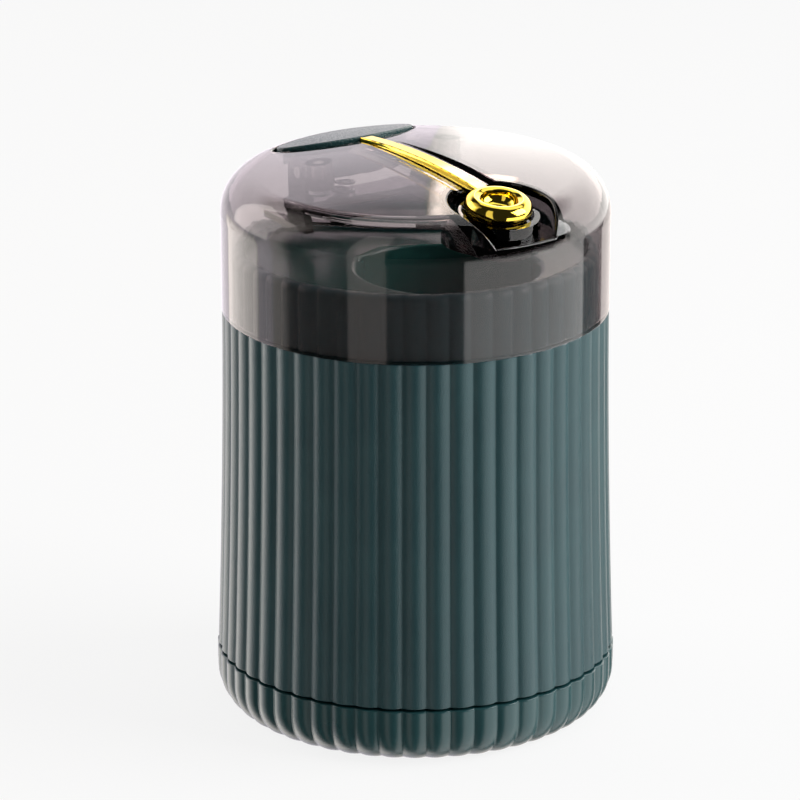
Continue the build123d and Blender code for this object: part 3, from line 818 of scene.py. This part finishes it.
@dataclass(frozen=True)
class Finishes:
    """The finishes of the dispenser, one for each kind of surface."""

    sleeve: Moulding = Moulding(
        "frosted_green_plastic", (0.017, 0.063, 0.073), (0.024, 0.080, 0.089), 0.34, grain_amount=0.9,
        grain_size=0.2, grain_depth=0.05,
    )
    cap: Moulding = Moulding(
        "satin_green_plastic", (0.014, 0.066, 0.072), (0.018, 0.076, 0.082), 0.3, grain_amount=0.08,
    )
    inside: Moulding = Moulding(
        "smooth_green_plastic", (0.013, 0.076, 0.066), (0.017, 0.086, 0.076), 0.22, grain_amount=0.04,
    )
    pad: Moulding = Moulding(
        "leather_grained_green", (0.012, 0.050, 0.052), (0.018, 0.064, 0.066), 0.3, grain=Grain.LEATHER,
        grain_size=0.6, grain_depth=0.09, grain_amount=0.9,
    )
    lid: Smoke = Smoke("smoked_lid", (0.16, 0.05, 0.06), 400.0)
    spout: Smoke = Smoke("smoked_spout", (0.12, 0.08, 0.08), 3500.0)
    bracket: Smoke = Smoke("smoked_bracket", (0.12, 0.08, 0.08), 3500.0)
    gold: Metal = Metal("gold_plate", (1.0, 0.80, 0.12), (1.0, 0.70, 0.08), 0.075)
    steel: Metal = Metal("zinc_plated_steel", (0.62, 0.62, 0.63), (0.52, 0.52, 0.54), 0.245)
    spring: Metal = Metal("dark_spring_steel", (0.09, 0.09, 0.10), (0.06, 0.06, 0.07), 0.325)


# ---------------- what the sub-assemblies share


@dataclass(frozen=True)
class Kit:
    """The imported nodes, the finishes with their shader groups, and what the screws are made with."""

    nodes: dict[str, Object]
    finishes: Finishes
    groups: Groups
    steel: Material
    screws: ShapeTree


@dataclass(frozen=True)
class Screw:
    """Sizes of one kind of screw, which has a crossed slot in its head."""

    shank_radius: float
    shank_length: float
    head_radius: float
    head_height: float
    slot: tuple[float, float, float]
    pitch_share: float = 0.6
    thread_share: float = 0.15
    thread_rows: float = 4.0
    head_rows: int = 3
    sides: int = 28

    def set_of(self, kit: Kit, name: str, spots: Sequence[Vector], body: str, node: str, lean: float) -> None:
        """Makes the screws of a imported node.

        Args:
            kit: What the sub-assemblies share.
            name: Name of the piece.
            spots: Where the screws' heads sit, in millimetres.
            body: Body that the screws ride on.
            node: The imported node.
            lean: Angle of the screws about +X in radians.
        """
        values = {
            "Lean": lean,
            "Shank Radius": self.shank_radius * MM,
            "Shank Length": self.shank_length * MM,
            "Head Radius": self.head_radius * MM,
            "Head Height": self.head_height * MM,
            "Head Rows": self.head_rows,
            "Thread Pitch": self.shank_radius * self.pitch_share * MM,
            "Thread Depth": self.shank_radius * self.thread_share * MM,
            "Rows per Thread": self.thread_rows,
            "Slot Size": tuple(part * MM for part in self.slot),
            "Sides": self.sides,
            "Material": kit.steel,
        }
        screws = kit.screws.make(name, guide_mesh(f"{name}_spots", spots), values)
        settle(screws, body, "steel", node)


def settle(piece: Object, body: str, slot: str, *nodes: str) -> None:
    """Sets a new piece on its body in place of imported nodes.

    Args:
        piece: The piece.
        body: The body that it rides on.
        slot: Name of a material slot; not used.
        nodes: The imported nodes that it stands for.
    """
    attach(piece, body)
    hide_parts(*nodes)
    log.info("%s rides on %s: %d faces", piece.name, body, len(piece.data.polygons))


def dress(node: Object, material: Material) -> None:
    """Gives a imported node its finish.

    Args:
        node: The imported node.
        material: The finish's material.
    """
    for slot in node.material_slots:
        slot.material = material
    log.info("%s wears %s", node.name, material.name)


# ---------------- canister


@dataclass
class Canister:
    """The ribbed sleeve with its neck, the base cap and the magazine inside."""

    kit: Kit

    ribs: int = 52
    rib_depth: float = 0.45
    neck_rib_depth: float = 0.4
    valley_radius: float = 0.35
    steps_per_rib: int = 14
    crowding: float = 1.7
    merge_distance: float = 0.001

    base_radius: float = 30.0
    cap_height: float = 8.65
    edge_height: float = 5.6
    edge_depth: float = 4.2
    edge_steps: int = 9
    seam_gap: float = 0.35
    seam_land: float = 28.4
    spigot_radius: float = 27.3
    spigot_bore: float = 25.1
    spigot_top: float = 12.45
    cap_bore: float = 23.6
    cap_floor: float = 1.8
    recess_radius: float = 21.0
    recess_depth: float = 0.5

    foot_radius: float = 29.85
    top_radius: float = 28.68
    flare: float = 1.7
    flare_steps: int = 10
    sleeve_top: float = 61.7
    neck_radius: float = 27.1
    neck_top: float = 71.5
    neck_edge: float = 1.0
    neck_bore: float = 25.4
    flange_under: float = 68.1
    ledge_bore: float = 24.25
    ledge_under: float = 60.0
    sleeve_bore: float = 26.45
    mouth_bore: float = 27.35
    mouth_top: float = 12.8

    soft_edge: float = 0.2
    crisp_edge: float = 0.12

    def flare_radius(self, climb: float) -> float:
        """Crest radius of the sleeve at a share of its height."""
        return self.top_radius + (self.foot_radius - self.top_radius) * (1 - climb) ** self.flare

    def sleeve_outline(self) -> Outline:
        """Works out the sleeve and its neck, from the foot up the outside and down the bore.

        Returns:
            The outline.
        """
        foot = self.cap_height + self.seam_gap
        outline = Outline()
        outline.to(self.foot_radius, foot, self.rib_depth, self.soft_edge)
        for step in range(1, self.flare_steps):
            climb = step / self.flare_steps
            height = foot + (self.sleeve_top - foot) * climb
            outline.to(self.flare_radius(climb), height, self.rib_depth)
        outline.to(self.top_radius, self.sleeve_top, self.rib_depth, self.soft_edge)
        outline.to(self.neck_radius, self.sleeve_top, self.neck_rib_depth, self.crisp_edge)
        outline.to(self.neck_radius, self.neck_top, self.neck_rib_depth, self.neck_edge)
        outline.plain(
            self.crisp_edge,
            (self.neck_bore, self.neck_top),
            (self.neck_bore, self.flange_under),
            (self.ledge_bore, self.flange_under),
            (self.ledge_bore, self.ledge_under),
            (self.sleeve_bore, self.ledge_under),
        )
        outline.to(self.mouth_bore, self.mouth_top)
        outline.plain(self.crisp_edge, (self.mouth_bore, foot))
        return outline

    def cap_outline(self) -> Outline:
        """Works out the base cap, from its foot up the rounded edge and down into the cup.

        Returns:
            The outline.
        """
        outline = Outline()
        outline.to(0.0, self.recess_depth)
        outline.plain(self.crisp_edge, (self.recess_radius, self.recess_depth), (self.recess_radius, 0.0))
        for step in range(self.edge_steps + 1):
            turn = math.pi / 2 * (1 - step / self.edge_steps)
            radius = self.base_radius - self.edge_depth * (1 - math.cos(turn))
            outline.to(radius, self.edge_height * (1 - math.sin(turn)), self.rib_depth)
        outline.to(self.base_radius, self.cap_height, self.rib_depth, self.soft_edge)
        outline.plain(
            self.crisp_edge,
            (self.seam_land, self.cap_height),
            (self.seam_land, self.cap_height + self.seam_gap),
            (self.spigot_radius, self.cap_height + self.seam_gap),
        )
        rim = (self.spigot_radius, self.spigot_top), (self.spigot_bore, self.spigot_top)
        outline.plain(self.soft_edge, *rim)
        outline.plain(
            self.crisp_edge,
            (self.spigot_bore, self.edge_height),
            (self.cap_bore, self.edge_height),
            (self.cap_bore, self.cap_floor),
        )
        outline.to(0.0, self.cap_floor)
        return outline

    def ribbed(self, tree: ShapeTree, name: str, outline: Outline, material: Material) -> Object:
        """Turns an outline into a ribbed wall.

        Args:
            tree: The tree that makes ribbed walls.
            name: Name of the piece.
            outline: The outline.
            material: The wall's material.

        Returns:
            The piece.
        """
        places, depths = outline.points()
        values = {
            "Rib Count": self.ribs,
            "Steps per Rib": self.steps_per_rib,
            "Crowding at Valleys": self.crowding,
            "Valley Radius": self.valley_radius * MM,
            "Merge Distance": self.merge_distance * MM,
            "Material": material,
        }
        return tree.make(name, guide_mesh(name, places, depths), values)

    def build(self) -> None:
        """Builds and dresses the canister's pieces."""
        tree = ribbed_wall_tree()
        finishes, groups = self.kit.finishes, self.kit.groups
        sleeve = self.ribbed(tree, "ribbed_sleeve", self.sleeve_outline(), finishes.sleeve.material(groups))
        cap = self.ribbed(tree, "ribbed_cap", self.cap_outline(), finishes.cap.material(groups))
        settle(sleeve, "canister", "frosted_green", "body_shell")
        settle(cap, "canister", "satin_green", "base_cap")
        dress(self.kit.nodes["pick_magazine"], finishes.inside.material(groups))


# ---------------- lid


@dataclass
class Lid:
    """The smoked dome lid with its spout, and the bracket, pin, screws and spring under it."""

    kit: Kit

    coil_turns: float = 3.5
    coil_radius: float = 1.95
    coil_steps: int = 48
    coil_keep: float = 0.44
    wire_radius: float = 0.22
    wire_sides: int = 14

    # reach of the painted shade in the lid, around the spout's well
    well_radius: float = 8.5
    well_depth: float = 5.2

    screw: Screw = Screw(0.8, 3.2, 1.6, 1.0, slot=(2.1, 0.35, 0.7))

    def spring(self, material: Material) -> None:
        """Winds the return spring between its two seats.

        Args:
            material: The spring's material.
        """
        low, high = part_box("return_spring")
        centre = (low + high) / 2 / MM
        foot = low.z / MM
        spring = coil_tree().make(
            "wound_spring",
            guide_mesh("spring_foot", [Vector((centre.x, centre.y, foot + self.wire_radius))]),
            {
                "Turns": self.coil_turns,
                "Steps per Turn": self.coil_steps,
                "Coil Radius": self.coil_radius * MM,
                "Height": high.z - low.z - 2 * self.wire_radius * MM,
                "Wire Radius": self.wire_radius * MM,
                "Wire Sides": self.wire_sides,
                "Material": material,
            },
        )
        settle(spring, "lid", "steel", "return_spring")
        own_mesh(spring)

    def screws(self) -> None:
        """Sets the two screws that hold the bracket up."""
        low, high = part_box("bracket_screws")
        side = high.x / MM - self.screw.head_radius
        depth = (low.y + high.y) / 2 / MM
        seat = low.z / MM + self.screw.head_height
        spots = [Vector((-side, depth, seat)), Vector((side, depth, seat))]
        self.screw.set_of(self.kit, "bracket_screw_set", spots, "lid", "bracket_screws", lean=0.0)

    def build(self) -> None:
        """Builds and dresses the lid's pieces."""
        low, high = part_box("outlet_spout")
        # foot of the well whose wall takes the lid's painted shade
        well = Vector(((low.x + high.x) / 2, (low.y + high.y) / 2, high.z)) / MM
        well.z -= self.well_depth
        finishes, groups = self.kit.finishes, self.kit.groups
        dress(self.kit.nodes["lid_shell"], finishes.lid.material(groups, (well, self.well_radius)))
        dress(self.kit.nodes["outlet_spout"], finishes.spout.material(groups))
        dress(self.kit.nodes["lever_bracket"], finishes.bracket.material(groups))
        dress(self.kit.nodes["pivot_pin"], self.kit.steel)
        self.spring(finishes.spring.material(groups))
        self.screws()


# ---------------- lever


@dataclass
class Lever:
    """The rocker with its finger pad, the gold ring lever and the screws that join them."""

    kit: Kit

    slope: float = 13.0
    side_along: float = 4.86
    middle_along: float = 3.56
    screw: Screw = Screw(0.6, 2.7, 1.0, 0.6, slot=(1.3, 0.24, 0.4))

    def screws(self) -> None:
        """Sets the three screws that hold the pad to the rocker, square to the slope."""
        low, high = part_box("pad_screws")
        lean = math.radians(self.slope)
        side = high.x / MM - self.screw.head_radius
        rear = Vector((0.0, math.cos(lean), -math.sin(lean)))
        up = Vector((0.0, math.sin(lean), math.cos(lean)))
        edge = self.screw.head_height * up.z + self.screw.head_radius * math.sin(lean)
        seat = Vector((0.0, high.y / MM - self.screw.head_radius * rear.y, low.z / MM + edge))
        middle = seat - rear * (self.side_along - self.middle_along)
        spots = [seat - Vector((side, 0, 0)), seat + Vector((side, 0, 0)), middle]
        self.screw.set_of(self.kit, "pad_screw_set", spots, "lever", "pad_screws", lean=-lean)

    def build(self) -> None:
        """Builds and dresses the lever's pieces."""
        finishes, groups = self.kit.finishes, self.kit.groups
        dress(self.kit.nodes["press_pad"], finishes.pad.material(groups))
        dress(self.kit.nodes["rocker"], finishes.inside.material(groups))
        dress(self.kit.nodes["pick_lever"], finishes.gold.material(groups))
        self.screws()


# ---------------- studio


@dataclass(frozen=True)
class View:
    """The camera: its place about the object, its lens, and how far it looks aside, in radians."""

    azimuth: float = -34.3
    elevation: float = 19.06
    distance: float = 700.0
    target_height: float = 46.60
    lens: float = 211.1
    aside: float = 0.0033

    def towards(self, turn: float = 0.0, elevation: float = 0.0) -> Vector:
        """Works out a direction from the object.

        Args:
            turn: Angle to the right of the camera.
            elevation: Angle above the horizon.

        Returns:
            The direction.
        """
        side = math.radians(self.azimuth + turn)
        rise = math.radians(elevation)
        return Vector((math.sin(side) * math.cos(rise), -math.cos(side) * math.cos(rise), math.sin(rise)))

    def face(self, name: str, data: bpy.types.ID, direction: Vector, distance: float) -> Object:
        """Puts a camera or a lamp in the scene, facing the object.

        Args:
            name: Its name.
            data: The camera or lamp.
            direction: Direction from the object to it.
            distance: Its distance.

        Returns:
            Its object.
        """
        thing = put(name, data)
        thing.location = Vector((0, 0, self.target_height * MM)) + direction * distance * MM
        thing.rotation_mode = "QUATERNION"
        thing.rotation_quaternion = (-direction).to_track_quat("-Z", "Y")
        return thing

    def build(self) -> None:
        """Makes the camera."""
        data = bpy.data.cameras.new("camera")
        data.lens = self.lens
        camera = self.face("camera", data, self.towards(0.0, self.elevation), self.distance)
        camera.rotation_quaternion = camera.rotation_quaternion @ Quaternion((0, 1, 0), self.aside)
        bpy.context.scene.camera = camera


@dataclass(frozen=True)
class Softbox:
    """A soft lamp that faces the object, placed by its angles from the camera."""

    name: str
    turn: float
    elevation: float
    distance: float
    width: float
    height: float
    radiance: float
    colour: Colour = WHITE

    def build(self, view: View) -> None:
        """Makes the lamp.

        Args:
            view: The camera.
        """
        data = bpy.data.lights.new(self.name, "AREA")
        data.shape = "RECTANGLE"
        data.size = self.width * MM
        data.size_y = self.height * MM
        data.energy = self.radiance * math.pi * data.size * data.size_y
        data.color = self.colour
        view.face(self.name, data, view.towards(self.turn, self.elevation), self.distance)


@dataclass(frozen=True)
class Wall:
    """A stretch of the studio's surroundings that polished surfaces mirror, with soft borders."""

    turn: float
    half_width: float
    low: float
    high: float
    brightness: float
    softness: float = 4.0
    colour: Colour = WHITE
    softer_at_top: float = 3.0

    def mask(self, tree: NodeTree, direction: NodeSocket, view: View) -> Wire:
        """Works out how far a direction lies on the wall.

        Args:
            tree: The surroundings' tree.
            direction: The direction.
            view: The camera.

        Returns:
            The mask, from 0 to 1.
        """
        ahead = dot(tree, direction, view.towards(self.turn))
        side = dot(tree, direction, view.towards(self.turn + 90.0))
        off = side.reckon("ARCTAN2", ahead).reckon("ABSOLUTE") * math.degrees(1)
        rise = separate(tree, direction)[2].reckon("ARCSINE") * math.degrees(1)
        across = (self.half_width - off).ramp(self.softness)
        under = (self.high - rise).ramp(self.softness * self.softer_at_top)
        return across * under * (rise - self.low).ramp(self.softness)


@dataclass(frozen=True)
class Studio:
    """Pale floor, lamps and surroundings."""

    view: View = View()
    ambient: float = 0.15
    mirrored_dark: float = 0.02
    lamps: tuple[Softbox, ...] = (
        Softbox("key_softbox", 82.0, 28.0, 700.0, 500.0, 500.0, 6.4),
        Softbox("left_softbox", -112.0, 20.0, 700.0, 480.0, 600.0, 2.0, (1.0, 0.92, 0.86)),
        Softbox("top_softbox", 150.0, 62.0, 800.0, 700.0, 500.0, 1.2),
    )
    walls: tuple[Wall, ...] = (
        Wall(-137.0, 45.0, -90.0, 34.0, 1.5, 3.0, (1.0, 0.93, 1.0)),
        Wall(140.0, 39.5, -12.0, 34.0, 2.6, 3.0, (1.0, 0.97, 0.93)),
        Wall(72.8, 44.2, -90.0, -8.0, 2.0, 2.0, (1.0, 0.98, 0.96)),
        Wall(161.0, 18.0, -90.0, -8.0, 1.5, 3.0, (1.0, 0.92, 0.88)),
        Wall(-126.0, 20.0, -90.0, -8.0, 3.2, 4.0, (1.0, 0.93, 0.88)),
        Wall(176.5, 2.4, 22.0, 36.0, 6.5, 0.8, (1.0, 0.86, 0.76)),
        Wall(-28.5, 11.5, -90.0, 60.0, 0.8, 1.5, (1.0, 0.9, 0.85)),
        Wall(-107.0, 25.0, -90.0, 50.0, 1.2, 8.0, (1.0, 0.92, 0.86)),
    )
    floor_size: float = 6000.0
    floor_drop: float = 0.05
    floor_colour: Colour = (0.9, 0.9, 0.9)
    floor_glow: float = 0.86

    def build(self) -> None:
        """Makes the studio."""
        self.build_floor()
        self.build_world()
        for lamp in self.lamps:
            lamp.build(self.view)

    def build_floor(self) -> None:
        """Makes the pale floor, which keeps a soft shadow."""
        half = self.floor_size * MM / 2
        height = -self.floor_drop * MM
        mesh = bpy.data.meshes.new("floor")
        square = (-half, -half), (half, -half), (half, half), (-half, half)
        mesh.from_pydata([(*corner, height) for corner in square], [], [(0, 1, 2, 3)])
        floor = put("floor", mesh)
        floor.visible_glossy = False
        floor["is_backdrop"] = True
        draft = Draft("pale_floor")
        draft.fix(Base_Color=opaque(self.floor_colour), Roughness=1.0, Specular_IOR_Level=0.0)
        draft.give_way(Rays(draft.tree).seen_directly() * self.floor_glow, "ShaderNodeEmission")
        mesh.materials.append(draft.material)

    def build_world(self) -> None:
        """Makes the surroundings: white to look at, soft to be lit by, and dark between walls to mirror."""
        world = bpy.data.worlds.new("studio")
        world.use_nodes = True
        bpy.context.scene.world = world
        tree = world.node_tree
        direction = tree.nodes.new("ShaderNodeTexCoord").outputs["Generated"]
        mirrored = combine(tree, *(self.mirrored_dark,) * 3)
        for wall in self.walls:
            shown = wall.mask(tree, direction, self.view) * wall.brightness
            lit = combine(tree, *(shown * part for part in wall.colour))
            most = add_node(tree, "ShaderNodeVectorMath", {0: mirrored, 1: lit}, operation="MAXIMUM")
            mirrored = most.outputs[0]
        soft = combine(tree, *(self.ambient,) * 3)
        rays = Rays(tree)
        shown = choose(tree, rays.mirrored_once(), soft, mirrored)
        shown = choose(tree, rays.seen_directly(), shown, combine(tree, *WHITE))
        feed(tree, tree.nodes["Background"].inputs["Color"], shown)


def dot(tree: NodeTree, direction: NodeSocket, axis: Vector) -> Wire:
    """Share of a direction along an axis."""
    node = add_node(tree, "ShaderNodeVectorMath", {0: direction, 1: axis}, operation="DOT_PRODUCT")
    return Wire(tree, node.outputs["Value"])


def choose(tree: NodeTree, mask: Wire, low: NodeSocket, high: NodeSocket) -> NodeSocket:
    """Goes from one vector to another with a mask."""
    fed = {0: mask, "A": low, "B": high}
    return add_node(tree, "ShaderNodeMix", fed, data_type="VECTOR").outputs["Result"]


# ---------------- the whole


def corners() -> list[list[float]]:
    """Lowest and highest corner of what is shown, in metres."""
    return [list(corner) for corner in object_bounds()]


def main() -> None:
    """Builds the camera, the dispenser and the studio."""
    logging.basicConfig(level=logging.INFO, format="%(name)s: %(message)s")
    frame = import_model()
    bpy.context.scene.view_settings.view_transform = "Standard"
    studio = Studio()
    studio.view.build()
    finishes, groups = Finishes(), Groups()
    kit = Kit(frame["nodes"], finishes, groups, finishes.steel.material(groups), screw_tree())
    for assembly in (Canister(kit), Lid(kit), Lever(kit)):
        assembly.build()
    studio.build()


if __name__ == "__main__":
    main()
